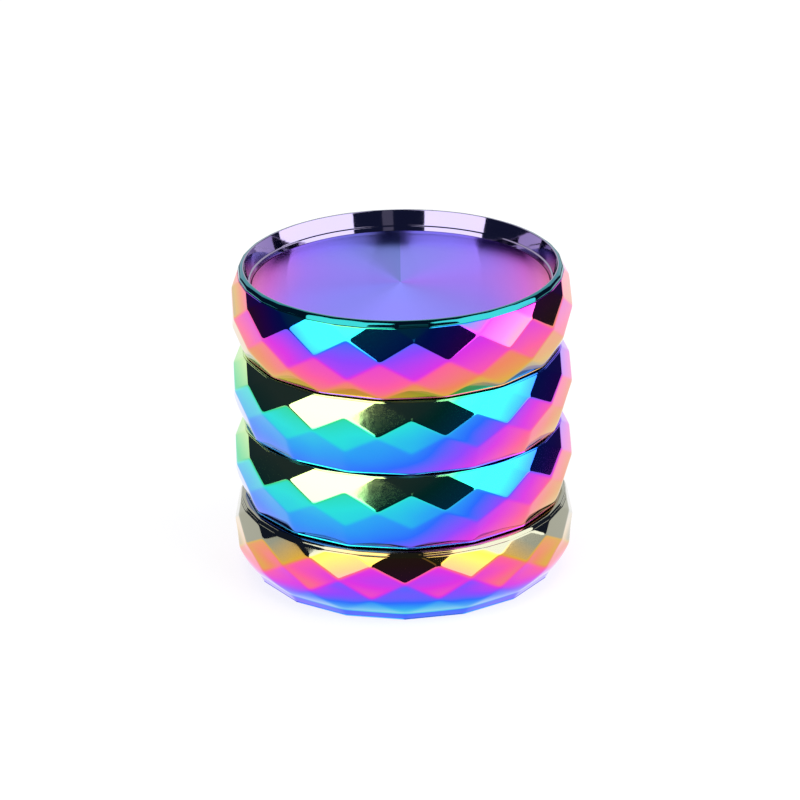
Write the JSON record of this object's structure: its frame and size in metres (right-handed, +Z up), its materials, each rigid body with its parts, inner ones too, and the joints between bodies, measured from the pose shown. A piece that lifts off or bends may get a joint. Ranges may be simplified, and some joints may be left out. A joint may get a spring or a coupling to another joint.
{
  "type": "herb grinder",
  "caption": "Round hand grinder of stacked, screw-together metal rings with diamond facets: recessed lid, toothed chamber, sieve chamber and base bowl.",
  "frame": {"origin": "centre of the base bowl's underside, where the grinder stands", "axes": "+Z up along the common axis of all rings, towards the lid; +X to the right and +Y away from the reader when the grinder is looked at from the front"},
  "size_m": [0.0498, 0.0498, 0.0464],
  "materials": {
    "rainbow_lid": "mirror-bright interference coating, green at the rim through violet and pink to gold at the seam",
    "rainbow_face": "spun face under the same coating, blue-violet with a conical sheen",
    "rainbow_middle": "mirror-bright interference coating, pale green through cyan and blue to violet",
    "rainbow_base": "mirror-bright interference coating, yellow through magenta and violet to blue",
    "rainbow_inside": "satin interference coating on turned and cast inner surfaces",
    "steel": "satin stainless steel",
    "steel_mesh": "plain-woven stainless wire",
    "magnet": "nickel-plated",
    "nylon": "milky, slightly waxy nylon",
    "seal_rubber": "matt black rubber"
  },
  "bodies": {
    "base": {"base_bowl": "rainbow_base"},
    "sieve_seal_body": {"sieve_seal": "seal_rubber"},
    "sieve": {"sieve_ring": "rainbow_middle", "screen_hoop": "steel", "screen_mesh": "steel_mesh", "screen_retainer": "steel"},
    "chamber_seal_body": {"chamber_seal": "seal_rubber"},
    "chamber": {"chamber_ring": "rainbow_middle", "tooth_plate": "rainbow_inside", "chamber_teeth_inner": "rainbow_inside", "chamber_teeth_outer": "rainbow_inside", "chamber_magnet": "magnet", "chamber_magnet_screw": "steel"},
    "slip": {"slip_ring": "nylon"},
    "lid": {"lid_shell": "rainbow_lid", "lid_face": "rainbow_face", "lid_teeth_inner": "rainbow_inside", "lid_teeth_outer": "rainbow_inside", "lid_magnet": "magnet", "lid_magnet_screw": "steel"}
  },
  "joints": [
    {"name": "sieve_rise", "type": "slide", "parent": "base", "child": "sieve_seal_body", "axis": [0, 0, 1], "range_m": [0, 0.018]},
    {"name": "sieve_turn", "type": "hinge", "parent": "sieve_seal_body", "child": "sieve", "pos_m": [0, 0, 0.0114], "axis": [0, 0, 1], "range_deg": [0, 2162]},
    {"name": "chamber_rise", "type": "slide", "parent": "sieve", "child": "chamber_seal_body", "axis": [0, 0, 1], "range_m": [0, 0.018]},
    {"name": "chamber_turn", "type": "hinge", "parent": "chamber_seal_body", "child": "chamber", "pos_m": [0, 0, 0.0229], "axis": [0, 0, 1], "range_deg": [0, 2162]},
    {"name": "lid_lift", "type": "slide", "parent": "chamber", "child": "slip", "axis": [0, 0, 1], "range_m": [0, 0.024]},
    {"name": "lid_turn", "type": "hinge", "parent": "slip", "child": "lid", "pos_m": [0, 0, 0.0344], "axis": [0, 0, 1], "continuous": true}
  ],
  "couplings": [
    {"joint": "sieve_turn", "follows": "sieve_rise", "rad_per_m": 2094.4},
    {"joint": "chamber_turn", "follows": "chamber_rise", "rad_per_m": 2094.4}
  ]
}
